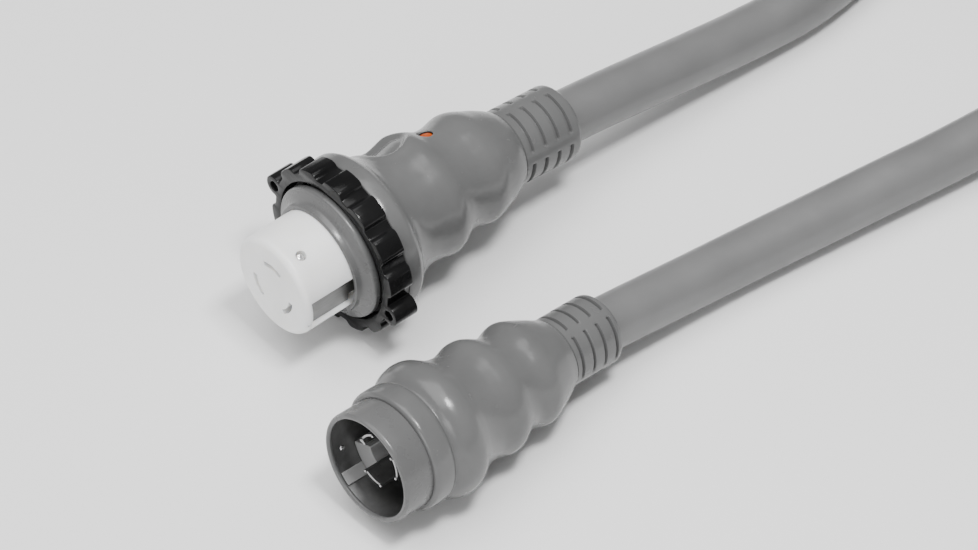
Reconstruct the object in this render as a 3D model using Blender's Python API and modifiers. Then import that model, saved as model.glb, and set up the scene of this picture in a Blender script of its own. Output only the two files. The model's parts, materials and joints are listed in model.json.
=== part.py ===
"""Shore power cord, 50 A 125/250 V: a locking connector for the vehicle or boat, a plug for the
shore outlet, and the cable between them, wound up for storage.

Each end is modelled about its own X axis, in millimetres: x runs from its front face towards
the cable, and an angle is counted from -Y up towards +Z. Two empties set the ends in place.
"""

import math

import bmesh
import bpy
from mathutils import Matrix, Vector

MM = 0.001
GAP = 0.3
SIDES = 32

# Where the two ends lie. The origin is on the floor, under the middle of the pair.
CONNECTOR_FRONT = (-70.9, 49.5, 46.5)
PLUG_FRONT = (-111.9, -64.1, 39.3)
PLUG_HEADING = 1.9
PLUG_TILT = 5.0

# Cable: its size and its two routes to the coil. Each end droops with it: (from x, to x, final slope).
CABLE_RADIUS = 14.0
CONNECTOR_DROOP = (100.0, 124.0, 0.115)
PLUG_DROOP = (122.6, 150.0, 0.045)
CONNECTOR_RUN = (
    (112.4, 49.5, 38.0),
    (135.6, 49.2, 34.8),
    (167.6, 48.9, 29.3),
    (202.6, 48.1, 23.6),
    (237.6, 47.0, 18.9),
    (275.6, 46.1, 16.3),
    (309.4, 49.9, 15.8),
    (342.1, 58.1, 15.8),
    (373.2, 71.0, 15.8),
    (401.3, 88.8, 15.8),
    (425.8, 111.2, 15.8),
)
PLUG_RUN = (
    (44.6, -59.0, 24.6),
    (65.6, -59.5, 21.8),
    (97.6, -60.9, 18.0),
    (137.6, -64.6, 16.1),
    (177.6, -69.7, 15.8),
    (217.6, -74.9, 15.8),
    (253.6, -79.8, 15.9),
    (290.0, -84.9, 18.0),
    (326.0, -90.8, 22.6),
    (358.0, -98.2, 29.4),
    (383.5, -107.9, 36.2),
    (405.8, -121.3, 41.4),
    (425.8, -139.2, 44.0),
)
RUN_POINTS = 24
RELIEF_BENDS = 5

# Coil: three layers of turns, held by three straps. The top layer is the narrow one.
COIL_CENTRE = (551.0, -14.0)
COIL_INNER = 98.0
COIL_OUTER = 192.0
COIL_HEIGHT = 95.5
COIL_EDGE = 8.0
COIL_SHOULDER = 50.0
COIL_TOP_OUTER = 146.0
STRAP_THICKNESS = 1.5
STRAP_WIDTH = 20.0
STRAP_SAG = 0.8
STRAP_ANGLES = (60.0, 180.0, 300.0)

# Connector, the female end.
CARRIER_RADIUS = 27.0
CARRIER_FRONT = -2.0
CARRIER_BACK = 46.0
FLANGE_RADIUS = 36.0
FLANGE_BACK = 36.0
NECK_RADIUS = 33.7
RING_FRONT = 34.8
RING_BACK = 48.6
RING_BORE = 38.0
RING_LIP_BORE = 34.4
RING_LIP_FRONT = 44.8
RING_HOLE_DISTANCE = 44.4
RING_TURN = -15.0
RIDGES = 14
CONNECTOR_BODY_END = 143.6
CONNECTOR_RELIEF_END = 182.0
CONNECTOR_JACKET_FRONT = 122.0
KEY_ANGLE = -6.5
LED_X = 104.0
LED_ANGLE = 112.0

# Plug, the male end.
SHELL_BORE = 27.2
SLEEVE_FRONT = 1.5
SLEEVE_BACK = 34.0
PLUG_BODY_FRONT = 18.6
PLUG_BODY_END = 122.6
PLUG_RELIEF_END = 155.0
PLUG_JACKET_FRONT = 106.0
BASE_FRONT = 16.0

# Contacts: both ends have three on one circle.
CONTACT_RADIUS = 13.4
BLADE_THICKNESS = 1.6
CONTACT_SPAN = 50.0
SOCKET_ANGLES = {"x": -30.0, "y": 90.0, "n": 210.0}
BLADE_ANGLES = {"x": -98.0, "y": 22.0, "n": 138.0}

# The outer outline of each moulded grip, as (x, radius).
CONNECTOR_GRIP = (
    (56.0, 42.2), (58.0, 41.6), (60.0, 39.8), (63.0, 37.0), (67.0, 34.4), (72.0, 32.4), (77.0, 31.3),
    (82.0, 31.3), (87.0, 32.3), (92.0, 33.2), (96.0, 32.2), (100.0, 30.1), (104.0, 28.4), (108.0, 27.8),
    (112.0, 28.0), (116.0, 28.9), (120.0, 29.6), (124.0, 29.0), (129.0, 27.0), (134.0, 25.2),
    (139.0, 23.0), (143.6, 20.6),
)
PLUG_GRIP = (
    (18.6, 30.4), (20.0, 31.4), (24.0, 31.9), (30.0, 31.1), (34.0, 31.4), (37.0, 33.3), (40.0, 35.0),
    (44.0, 35.6), (48.0, 34.7), (51.0, 32.7), (55.0, 30.4), (60.0, 28.9), (66.0, 28.3), (71.0, 29.3),
    (76.0, 30.5), (80.0, 29.8), (84.0, 27.6), (88.0, 25.8), (92.0, 25.3), (96.0, 26.3), (100.0, 27.7),
    (104.0, 27.4), (109.0, 25.2), (115.0, 22.5), (119.0, 20.3), (122.6, 18.9),
)


def clear_scene():
    for obj in list(bpy.data.objects):
        bpy.data.objects.remove(obj, do_unlink=True)


def new_collection(name, is_helper=False):
    collection = bpy.data.collections.new(name)
    bpy.context.scene.collection.children.link(collection)
    collection.hide_render = is_helper
    return collection


def new_material(name, colour, roughness, metallic=0.0):
    material = bpy.data.materials.new(name)
    material.use_nodes = True
    shader = material.node_tree.nodes["Principled BSDF"]
    shader.inputs["Base Color"].default_value = (*colour, 1.0)
    shader.inputs["Roughness"].default_value = roughness
    shader.inputs["Metallic"].default_value = metallic
    return material


clear_scene()
PARTS = new_collection("shore_power_cord")
CUTTERS = new_collection("cutters", is_helper=True)
GREY_PVC = new_material("grey_pvc", (0.22, 0.225, 0.23), 0.42)
CABLE_PVC = new_material("cable_pvc", (0.25, 0.255, 0.26), 0.38)
BLACK_NYLON = new_material("black_nylon", (0.012, 0.012, 0.013), 0.35)
WHITE_NYLON = new_material("white_nylon", (0.78, 0.78, 0.77), 0.35)
DARK_BASE = new_material("dark_base", (0.03, 0.03, 0.032), 0.5)
STEEL = new_material("plated_steel", (0.45, 0.45, 0.46), 0.3, 1.0)
BRASS = new_material("brass", (0.66, 0.47, 0.2), 0.3, 1.0)
AMBER = new_material("amber_lens", (0.75, 0.2, 0.02), 0.15)
RUBBER = new_material("black_rubber", (0.02, 0.02, 0.02), 0.8)
STRAP = new_material("strap_fabric", (0.03, 0.03, 0.035), 0.9)
WIRE_COLOURS = {
    "x": new_material("wire_black", (0.02, 0.02, 0.02), 0.5),
    "y": new_material("wire_red", (0.5, 0.02, 0.02), 0.5),
    "n": new_material("wire_white", (0.8, 0.8, 0.8), 0.5),
    "ground": new_material("wire_green", (0.02, 0.25, 0.06), 0.5),
}


def add_object(name, data, material, parent):
    """A cutter has no material, and is left out of the render."""
    obj = bpy.data.objects.new(name, data)
    if material is None:
        CUTTERS.objects.link(obj)
        obj.hide_render = True
        obj.display_type = "WIRE"
    else:
        PARTS.objects.link(obj)
        data.materials.append(material)
    obj.parent = parent
    return obj


def add_frame(name, front, heading=0.0, tilt=0.0):
    """The empty that an end's pieces hang from. Tilt lowers the cable side."""
    frame = bpy.data.objects.new(name, None)
    PARTS.objects.link(frame)
    turn = Matrix.Rotation(math.radians(heading), 4, "Z")
    turn = turn @ Matrix.Rotation(math.radians(tilt), 4, "Y")
    frame.matrix_world = Matrix.Translation(Vector(front) * MM) @ turn
    return frame


def around(angle, radius, x=0.0):
    """The point at this angle and radius about the X axis, in metres."""
    theta = math.radians(angle)
    return Vector((x, -radius * math.cos(theta), radius * math.sin(theta))) * MM


def mesh_from(bm, name):
    bmesh.ops.recalc_face_normals(bm, faces=bm.faces)
    mesh = bpy.data.meshes.new(name)
    bm.to_mesh(mesh)
    bm.free()
    mesh.shade_smooth()
    mesh.set_sharp_from_angle(angle=math.radians(35))
    return mesh


def evaluated_volume(obj):
    bpy.context.view_layer.update()
    bm = bmesh.new()
    bm.from_object(obj, bpy.context.evaluated_depsgraph_get())
    volume = bm.calc_volume(signed=True)
    bm.free()
    return volume


def turned(name, outline, material, parent, sides=SIDES):
    """A solid turned about X. An outline of (x, radius) points is closed unless it ends on the axis."""
    mesh = bpy.data.meshes.new(name)
    points = [(x * MM, radius * MM, 0.0) for x, radius in outline]
    edges = [(i, i + 1) for i in range(len(points) - 1)]
    if outline[0][1] > 0.0:
        edges.append((len(points) - 1, 0))
    mesh.from_pydata(points, edges, [])
    obj = add_object(name, mesh, material, parent)
    screw = obj.modifiers.new("turn", "SCREW")
    screw.axis = "X"
    screw.steps = screw.render_steps = sides
    screw.use_merge_vertices = True
    screw.merge_threshold = 0.00001
    screw.use_smooth_shade = True
    screw.use_normal_flip = evaluated_volume(obj) < 0
    return obj


def arc_block(name, x_span, radii, middle, span, material, parent, steps=6):
    """A block that runs part of the way round the X axis."""
    bm = bmesh.new()
    front, back = x_span
    inner, outer = radii
    corners = ((front, inner), (back, inner), (back, outer), (front, outer))
    face = bm.faces.new([bm.verts.new(around(middle - span / 2, radius, x)) for x, radius in corners])
    geometry = [face, *face.edges, *face.verts]
    bmesh.ops.spin(bm, geom=geometry, axis=(-1, 0, 0), angle=math.radians(span), steps=steps)
    return add_object(name, mesh_from(bm, name), material, parent)


def cylinder(name, radius, start, end, material, parent, sides=16):
    """A round bar between two points given in metres."""
    bm = bmesh.new()
    axis = end - start
    place = Matrix.Translation((start + end) / 2) @ axis.to_track_quat("Z", "Y").to_matrix().to_4x4()
    size = {"radius1": radius * MM, "radius2": radius * MM, "depth": axis.length}
    bmesh.ops.create_cone(bm, cap_ends=True, segments=sides, matrix=place, **size)
    return add_object(name, mesh_from(bm, name), material, parent)


def radial_bar(name, radius, x, angle, inner, outer, material, parent, sides=16):
    start, end = around(angle, inner, x), around(angle, outer, x)
    return cylinder(name, radius, start, end, material, parent, sides)


def block(name, x_span, radial_span, half_width, angle, material, parent):
    """A flat-sided box that faces outwards at this angle."""
    bm = bmesh.new()
    size = (x_span[1] - x_span[0], radial_span[1] - radial_span[0], 2 * half_width)
    place = Matrix.Translation(around(angle, sum(radial_span) / 2, sum(x_span) / 2))
    turn = Matrix.Rotation(-math.radians(angle), 4, "X")
    bmesh.ops.create_cube(bm, size=1.0, matrix=place @ turn @ Matrix.Diagonal((*(Vector(size) * MM), 1.0)))
    return add_object(name, mesh_from(bm, name), material, parent)


def prism(name, outlines, x_span, material, parent):
    """A flat outline in the plane across X, with its holes, made as thick as the span."""
    curve = bpy.data.curves.new(name, "CURVE")
    curve.dimensions = "2D"
    curve.fill_mode = "BOTH"
    curve.extrude = (x_span[1] - x_span[0]) / 2 * MM
    for outline in outlines:
        spline = curve.splines.new("POLY")
        spline.points.add(len(outline) - 1)
        for point, (across, up) in zip(spline.points, outline):
            point.co = (across * MM, up * MM, 0.0, 1.0)
        spline.use_cyclic_u = True
    # The curve's X becomes -Y, its Y becomes +Z and its Z becomes -X.
    stand = Matrix(((0, 0, -1, sum(x_span) / 2 * MM), (-1, 0, 0, 0), (0, 1, 0, 0), (0, 0, 0, 1)))
    return to_mesh(name, curve, material, parent, stand)


def to_mesh(name, curve, material, parent, place):
    """Makes the curve's solid a mesh whose caps are joined to its sides."""
    helper = bpy.data.objects.new(name + "_curve", curve)
    PARTS.objects.link(helper)
    bpy.context.view_layer.update()
    mesh = bpy.data.meshes.new_from_object(helper.evaluated_get(bpy.context.evaluated_depsgraph_get()))
    bpy.data.objects.remove(helper, do_unlink=True)
    bm = bmesh.new()
    bm.from_mesh(mesh)
    bpy.data.meshes.remove(mesh)
    bmesh.ops.remove_doubles(bm, verts=bm.verts, dist=0.000005)
    bmesh.ops.transform(bm, matrix=place, verts=bm.verts)
    return add_object(name, mesh_from(bm, name), material, parent)


def combine(obj, tool, operation="DIFFERENCE"):
    modifier = obj.modifiers.new(operation.lower(), "BOOLEAN")
    modifier.operation = operation
    modifier.object = tool
    modifier.solver = "EXACT"


def bake(obj):
    """Makes the modifiers' result the object's own mesh."""
    bpy.context.view_layer.update()
    mesh = bpy.data.meshes.new_from_object(obj.evaluated_get(bpy.context.evaluated_depsgraph_get()))
    obj.modifiers.clear()
    obj.data = mesh
    return obj


def drooped(point, bend):
    """Where a point of an end goes when the cable's weight bends its rear down. All in millimetres."""
    start, stop, slope = bend
    run = max(point.x - start, 0.0)
    curved = min(run, stop - start)
    drop = slope * (curved * curved / (2 * (stop - start)) + run - curved)
    lean = math.atan(slope * curved / (stop - start))
    return Vector((point.x + point.z * math.sin(lean), point.y, point.z * math.cos(lean) - drop))


def droop(obj, bend):
    for vertex in bake(obj).data.vertices:
        vertex.co = drooped(vertex.co / MM, bend) * MM


def tube_curve(name, points, radius, resolution=2):
    curve = bpy.data.curves.new(name, "CURVE")
    curve.dimensions = "3D"
    curve.bevel_depth = radius * MM
    curve.bevel_resolution = resolution
    curve.use_fill_caps = True
    spline = curve.splines.new("POLY")
    spline.points.add(len(points) - 1)
    for point, place in zip(spline.points, points):
        point.co = (*place, 1.0)
    return curve


def smooth_points(route, count):
    """Evenly spaced points on the Catmull-Rom curve through a route."""
    knots = [Vector(p) * MM for p in route]
    knots = [2 * knots[0] - knots[1], *knots, 2 * knots[-1] - knots[-2]]
    fine = []
    for a, b, c, d in zip(knots, knots[1:], knots[2:], knots[3:]):
        for step in range(20):
            t = step / 20
            fine.append(
                b + (c - a) * t / 2
                + (2 * a - 5 * b + 4 * c - d) * t**2 / 2
                + (3 * b - 3 * c + d - a) * t**3 / 2
            )
    fine.append(knots[-2])
    along = [0.0]
    for a, b in zip(fine, fine[1:]):
        along.append(along[-1] + (b - a).length)
    points, k = [], 0
    for i in range(count):
        wanted = along[-1] * i / (count - 1)
        while k < len(fine) - 2 and along[k + 1] < wanted:
            k += 1
        points.append(fine[k].lerp(fine[k + 1], (wanted - along[k]) / (along[k + 1] - along[k])))
    return points


def conductor(name, start, end, radius, bend, material, parent):
    """A wire that leaves both of its ends straight, along X."""
    points = []
    for i in range(9):
        t = i / 8
        blend = t * t * (3 - 2 * t)
        point = Vector((start.x + (end.x - start.x) * t, *start.yz.lerp(end.yz, blend)))
        points.append(drooped(point / MM, bend) * MM)
    return add_object(name, tube_curve(name, points, radius, resolution=1), material, parent)


def ring_outline():
    """The locking ring from the front: fourteen places, of which two are lugs and the rest ridges."""
    groove, crest, lug_radius = 42.6, 45.6, 6.0
    shoulder = 44.6
    ridge = ((-9.4, groove), (-7.8, shoulder), (-5.4, crest), (5.4, crest), (7.8, shoulder), (9.4, groove))
    outline = []
    for place in range(RIDGES):
        middle = RING_TURN + 360 / RIDGES * place
        if place % (RIDGES // 2):
            for offset, radius in ridge:
                theta = math.radians(middle + offset)
                outline.append((radius * math.cos(theta), radius * math.sin(theta)))
            continue
        facing = math.radians(middle)
        centre = Vector((math.cos(facing), math.sin(facing))) * RING_HOLE_DISTANCE
        for i in range(9):
            theta = facing + math.radians(-112 + 28 * i)
            outline.append(tuple(centre + Vector((math.cos(theta), math.sin(theta))) * lug_radius))
    return outline


def circle_outline(radius, sides, angle=0.0, distance=0.0):
    facing = math.radians(angle)
    centre = Vector((math.cos(facing), math.sin(facing))) * distance
    turns = [2 * math.pi * i / sides for i in range(sides)]
    return [tuple(centre + Vector((math.cos(t), math.sin(t))) * radius) for t in turns]


def evenly(first, last, pieces):
    return [first + (last - first) * i / pieces for i in range(pieces + 1)]


def tube_outline(x_span, radii):
    (front, back), (inner, outer) = x_span, radii
    return (front, inner), (front, outer), (back, outer), (back, inner)


def relief(name, start, end, radius, slots, slot_angle, bend, parent):
    """The strain relief, with four rows of four cross slots. Slots are (first x, pitch, width, span)."""
    outside = [(x, radius) for x in evenly(start, end - 3.5, RELIEF_BENDS)]
    inside = [(x, CABLE_RADIUS + GAP) for x in evenly(end, start, RELIEF_BENDS)]
    rear = [(end - 1.6, radius - 0.8), (end - 1.2, radius - 2.6), (end, radius - 3.4)]
    sleeve = turned(name, outside + rear + inside, GREY_PVC, parent, sides=24)
    first, pitch, width, span = slots
    for row in range(4):
        for i in range(4):
            x_span = (first + pitch * i, first + pitch * i + width)
            radii = (radius - 1.7, radius + 2.0)
            angle = slot_angle + 90.0 * row
            slot = arc_block(f"{name}_slot_{row}_{i}", x_span, radii, angle, span, None, parent, steps=4)
            combine(sleeve, slot)
    droop(sleeve, bend)


def jacket_end(name, start, end, bend, parent):
    """The length of cable jacket that the strain relief holds."""
    ends = Vector((start, 0, 0)) * MM, Vector((end, 0, 0)) * MM
    stub = cylinder(name, CABLE_RADIUS, *ends, CABLE_PVC, parent, 24)
    bm = bmesh.new()
    bm.from_mesh(stub.data)
    for x in evenly(start, end, 2 * RELIEF_BENDS)[1:-1]:
        everything = [*bm.verts, *bm.edges, *bm.faces]
        bmesh.ops.bisect_plane(bm, geom=everything, plane_co=(x * MM, 0, 0), plane_no=(1, 0, 0))
    bm.to_mesh(stub.data)
    bm.free()
    droop(stub, bend)


def build_connector_front(frame):
    """The nylon contact carrier, its flange, its contacts and the ground strip in its side."""
    carrier = turned(
        "contact_carrier",
        ((CARRIER_FRONT, 0.0), (CARRIER_FRONT, 23.6), (CARRIER_FRONT + 0.8, 25.6),
         (CARRIER_FRONT + 2.6, CARRIER_RADIUS), (CARRIER_BACK, CARRIER_RADIUS), (CARRIER_BACK, 0.0)),
        WHITE_NYLON, frame, sides=40,
    )
    recess_span = (1.0, CARRIER_BACK + 2)
    combine(carrier, block("strip_recess", recess_span, (20.6, 31.0), 9.9, KEY_ANGLE, None, frame))
    combine(carrier, block("key_groove", (-4.0, 30.0), (25.4, 30.0), 2.6, -92.0, None, frame))
    combine(carrier, radial_bar("side_screw_hole", 2.7, 7.4, 66.0, 17.0, 30.0, None, frame))
    middle = CONTACT_RADIUS
    slot_half = BLADE_THICKNESS / 2 + 0.5
    for pole, angle in SOCKET_ANGLES.items():
        radii = (middle - slot_half, middle + slot_half)
        span = CONTACT_SPAN + 3
        combine(carrier, arc_block("slot_" + pole, (-4.0, 22.0), radii, angle, span, None, frame))
        pocket = arc_block("pocket_" + pole, (20.0, 48.0), (10.2, 16.6), angle, 44.0, None, frame, steps=4)
        combine(carrier, pocket)
        name, radii = f"socket_contact_{pole}", (10.6, 16.2)
        contact = arc_block(name, (20.4, 50.0), radii, angle, 38.0, BRASS, frame, steps=4)
        radii = (middle - 1.0, middle + 1.0)
        throat = arc_block("throat_" + pole, (18.0, 38.0), radii, angle, 60.0, None, frame, steps=4)
        combine(contact, throat)
        radial_bar(f"socket_screw_{pole}", 3.0, 50.8, angle, 16.6, 20.6, STEEL, frame, 12)
    radial_bar("side_screw", 2.4, 7.4, 66.0, 17.4, 25.6, STEEL, frame)
    ground = block("ground_strip", (1.8, 26.0), (20.9, 22.5), 9.5, KEY_ANGLE, STEEL, frame)
    combine(ground, block("strip_notch", (21.5, 28.0), (19.0, 24.0), 2.6, KEY_ANGLE + 18.0, None, frame))
    combine(ground, block("strip_tail", (24.0, 52.0), (20.9, 22.5), 4.5, KEY_ANGLE, None, frame), "UNION")
    radial_bar("ground_screw", 3.0, 49.4, KEY_ANGLE, 22.8, 26.4, STEEL, frame, 12)
    back = FLANGE_BACK
    turned(
        "front_flange",
        ((back - 9.4, CARRIER_RADIUS + GAP), (back - 9.4, 29.3), (back - 6.4, 29.7), (back - 6.4, 31.2),
         (back - 5.0, 31.8), (back - 4.1, 34.4), (back - 3.7, 35.5), (back - 3.0, FLANGE_RADIUS),
         (back, FLANGE_RADIUS), (back, CARRIER_RADIUS + GAP)),
        GREY_PVC, frame, sides=40,
    )


def build_locking_ring(frame):
    """The ring that screws onto the inlet. It slides and spins on the neck behind the flange."""
    holes = [circle_outline(2.8, 12, RING_TURN + turn, RING_HOLE_DISTANCE) for turn in (0.0, 180.0)]
    outlines = [ring_outline(), circle_outline(RING_BORE, 48), *holes]
    ring = prism("locking_ring", outlines, (RING_FRONT, RING_BACK), BLACK_NYLON, frame)
    lip = tube_outline((RING_LIP_FRONT, RING_BACK - 0.6), (RING_LIP_BORE, RING_BORE + 2))
    combine(ring, turned("ring_lip", lip, None, frame, sides=48), "UNION")
    seal = tube_outline((RING_LIP_FRONT - 3.4, RING_LIP_FRONT - GAP), (34.5, 37.5))
    turned("ring_gasket", seal, RUBBER, frame, sides=40)


def build_connector_body(frame):
    cavity = (
        (CONNECTOR_BODY_END, CABLE_RADIUS + GAP), (121.4, CABLE_RADIUS + GAP), (118.0, 19.0), (62.0, 27.4),
        (FLANGE_BACK + GAP, 27.4),
    )
    shoulder = RING_BACK + 0.6
    neck = ((FLANGE_BACK + GAP, NECK_RADIUS), (shoulder, NECK_RADIUS), (shoulder, 41.8))
    body = turned("connector_body", neck + CONNECTOR_GRIP + cavity, GREY_PVC, frame)
    combine(body, radial_bar("led_hole", 4.2, LED_X, LED_ANGLE, 16.0, 34.0, None, frame))
    droop(body, CONNECTOR_DROOP)
    radial_bar("led_lens", 3.8, LED_X, LED_ANGLE, 25.4, 27.0, AMBER, frame)
    radial_bar("led_lamp", 2.5, LED_X, LED_ANGLE, 19.4, 25.1, DARK_BASE, frame, 12)
    start, end = CONNECTOR_BODY_END + GAP, CONNECTOR_RELIEF_END
    slots, slot_angle = (147.5, 8.3, 2.0, 72.0), 62.0
    relief("connector_strain_relief", start, end, 20.2, slots, slot_angle, CONNECTOR_DROOP, frame)
    jacket_end("connector_jacket_end", CONNECTOR_JACKET_FRONT, end, CONNECTOR_DROOP, frame)
    far = CONNECTOR_JACKET_FRONT - GAP
    for pole, angle in SOCKET_ANGLES.items():
        ends = around(angle, CONTACT_RADIUS, 54.6), around(angle, 7.4, far)
        conductor(f"connector_wire_{pole}", *ends, 3.2, CONNECTOR_DROOP, WIRE_COLOURS[pole], frame)
    ends = around(KEY_ANGLE, 20.0, 56.0), around(30.0, 9.0, far)
    conductor("connector_wire_ground", *ends, 2.6, CONNECTOR_DROOP, WIRE_COLOURS["ground"], frame)


def build_plug_front(frame):
    """The sleeve and its metal shell, and the blades on their base inside it."""
    back = SLEEVE_BACK
    turned(
        "plug_sleeve",
        ((SLEEVE_FRONT + 0.5, 28.2), (SLEEVE_FRONT, 28.4), (SLEEVE_FRONT, 28.6), (SLEEVE_FRONT + 0.5, 28.9),
         (back, 28.7), (back, 28.2)),
        GREY_PVC, frame, sides=40,
    )
    turned("plug_shell", tube_outline((SLEEVE_FRONT + 0.8, back), (SHELL_BORE, 27.9)), STEEL, frame, 40)
    boss_front = BASE_FRONT - 1.6
    base = turned(
        "plug_base",
        ((boss_front, 0.0), (boss_front, 10.8), (BASE_FRONT, 11.4), (BASE_FRONT, 26.9),
         (back, 26.9), (back, 0.0)),
        DARK_BASE, frame,
    )
    half = BLADE_THICKNESS / 2
    for pole, angle in BLADE_ANGLES.items():
        radii = (CONTACT_RADIUS - half, CONTACT_RADIUS + half)
        blade = arc_block(f"blade_{pole}", (8.0, 42.0), radii, angle, CONTACT_SPAN, BRASS, frame)
        if pole == "n":
            at, foot_radii = angle + 21.0, (10.4, CONTACT_RADIUS)
            foot = arc_block("blade_foot", (8.0, 15.0), foot_radii, at, 8.0, None, frame, 2)
            combine(blade, foot, "UNION")
            combine(base, arc_block("foot_room", (12.0, 15.4), (10.0, 14.0), at, 11.0, None, frame, 2))
        room, span = (radii[0] - GAP, radii[1] + GAP), CONTACT_SPAN + 3
        combine(base, arc_block("blade_slot_" + pole, (12.0, 36.0), room, angle, span, None, frame))
        radial_bar(f"blade_screw_{pole}", 3.0, 38.6, angle, 14.6, 19.0, STEEL, frame, 12)
    arc_block("base_land", (boss_front, BASE_FRONT - GAP), (15.6, 26.8), 217.0, 44.0, GREY_PVC, frame)
    key_span, key_radii = (SLEEVE_FRONT + 1.2, boss_front - GAP), (25.6, SHELL_BORE - GAP)
    arc_block("shell_key", key_span, key_radii, 232.2, 13.6, GREY_PVC, frame, 3)
    arc_block("ground_lug", (back + 0.4, back + 10.0), (22.6, 26.6), 232.0, 24.0, STEEL, frame, steps=3)


def build_plug_body(frame):
    back = SLEEVE_BACK + 0.4
    cavity = (
        (PLUG_BODY_END, CABLE_RADIUS + GAP), (105.0, CABLE_RADIUS + GAP), (99.0, 18.6), (56.0, 22.4),
        (50.0, 27.2), (back, 27.2), (back, 29.2), (PLUG_BODY_FRONT, 29.2),
    )
    turned("plug_body", PLUG_GRIP + cavity, GREY_PVC, frame)
    start, end = PLUG_BODY_END + GAP, PLUG_RELIEF_END
    slots, slot_angle = (126.0, 7.5, 1.3, 76.0), 24.0
    relief("plug_strain_relief", start, end, 18.5, slots, slot_angle, PLUG_DROOP, frame)
    jacket_end("plug_jacket_end", PLUG_JACKET_FRONT, end, PLUG_DROOP, frame)
    far = PLUG_JACKET_FRONT - GAP
    for pole, angle in BLADE_ANGLES.items():
        ends = around(angle, CONTACT_RADIUS, 42.4), around(angle, 7.4, far)
        conductor(f"plug_wire_{pole}", *ends, 3.2, PLUG_DROOP, WIRE_COLOURS[pole], frame)
    ends = around(232.0, 18.4, 47.4), around(202.0, 9.0, far)
    conductor("plug_wire_ground", *ends, 2.6, PLUG_DROOP, WIRE_COLOURS["ground"], frame)


def build_cable():
    """The two runs, and the coil between them with its straps."""
    centre = Vector((*COIL_CENTRE, STRAP_THICKNESS + GAP)) * MM
    lying = Matrix.Translation(centre) @ Matrix.Rotation(math.radians(-90), 4, "Y")
    inside, outside = COIL_INNER - 40.0, COIL_OUTER + GAP
    room = turned("coil_room", tube_outline((-30.0, 120.0), (inside, outside)), None, None, sides=48)
    room.matrix_world = lying
    for name, route in (("cable_connector_run", CONNECTOR_RUN), ("cable_plug_run", PLUG_RUN)):
        curve = tube_curve(name, smooth_points(route, RUN_POINTS), CABLE_RADIUS)
        combine(to_mesh(name, curve, CABLE_PVC, None, Matrix()), room)
    coil = turned("cable_coil", coil_section(0.0), CABLE_PVC, None, sides=48)
    coil.matrix_world = lying
    for i, angle in enumerate(STRAP_ANGLES):
        place = Matrix.Translation(centre) @ Matrix.Rotation(math.radians(angle), 4, "Z")
        build_strap(f"coil_strap_{i + 1}", place)


def coil_section(margin, sag=0.0):
    """The coil's section as (height, radius) points, grown by a margin. Sag pulls its inner side in."""
    bottom, top = -margin, COIL_HEIGHT + margin
    inner, outer = COIL_INNER - margin - sag, COIL_OUTER + margin
    edge, top_outer = COIL_EDGE, COIL_TOP_OUTER + margin / 2
    return (
        (bottom, inner + edge), (bottom, outer - edge), (bottom + edge, outer), (COIL_SHOULDER, outer),
        (top, top_outer), (top, inner + edge), (top - edge, inner), (bottom + edge, inner),
    )


def strap_block(name, margin, width, material, place):
    """The coil's section, grown by a margin, as a block across the turns."""
    outline = [(radius, height) for height, radius in coil_section(margin, STRAP_SAG)]
    solid = prism(name, [outline], (-width / 2, width / 2), material, None)
    solid.matrix_world = place @ Matrix.Rotation(math.radians(90), 4, "Z")
    return solid


def build_strap(name, place):
    """A band round the coil's section, with a little air inside it."""
    band = strap_block(name, GAP + STRAP_THICKNESS, STRAP_WIDTH, STRAP, place)
    combine(band, strap_block(name + "_room", GAP, STRAP_WIDTH + 4, None, place))


def build():
    connector = add_frame("connector_frame", CONNECTOR_FRONT)
    plug = add_frame("plug_frame", PLUG_FRONT, PLUG_HEADING, PLUG_TILT)
    build_connector_front(connector)
    build_locking_ring(connector)
    build_connector_body(connector)
    build_plug_front(plug)
    build_plug_body(plug)
    build_cable()


build()
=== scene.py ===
"""Looks of the shore power cord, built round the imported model.

Each end is made in millimetres about its own X axis, as in the CAD source: x runs from the front face
towards the cable, and an angle is counted in degrees from -Y up towards +Z. An outline is a list of
(x, radius) points.
"""

import json
import math

import bmesh
import bpy
import numpy as np
from mathutils import Matrix, Vector


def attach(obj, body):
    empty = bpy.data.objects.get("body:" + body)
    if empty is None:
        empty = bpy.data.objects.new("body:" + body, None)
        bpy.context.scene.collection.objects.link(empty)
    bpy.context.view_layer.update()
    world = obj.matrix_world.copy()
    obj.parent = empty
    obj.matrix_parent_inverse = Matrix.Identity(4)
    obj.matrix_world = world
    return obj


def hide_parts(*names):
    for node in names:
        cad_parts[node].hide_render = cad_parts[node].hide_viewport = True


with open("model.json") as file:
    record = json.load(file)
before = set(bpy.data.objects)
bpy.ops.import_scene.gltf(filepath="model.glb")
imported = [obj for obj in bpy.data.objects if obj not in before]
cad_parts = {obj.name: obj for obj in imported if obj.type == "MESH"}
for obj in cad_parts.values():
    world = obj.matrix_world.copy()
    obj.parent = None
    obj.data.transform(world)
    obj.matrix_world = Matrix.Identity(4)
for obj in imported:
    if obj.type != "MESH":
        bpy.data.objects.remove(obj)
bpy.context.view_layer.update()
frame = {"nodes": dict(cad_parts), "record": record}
NODES = frame["nodes"]

MM = 0.001

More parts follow.
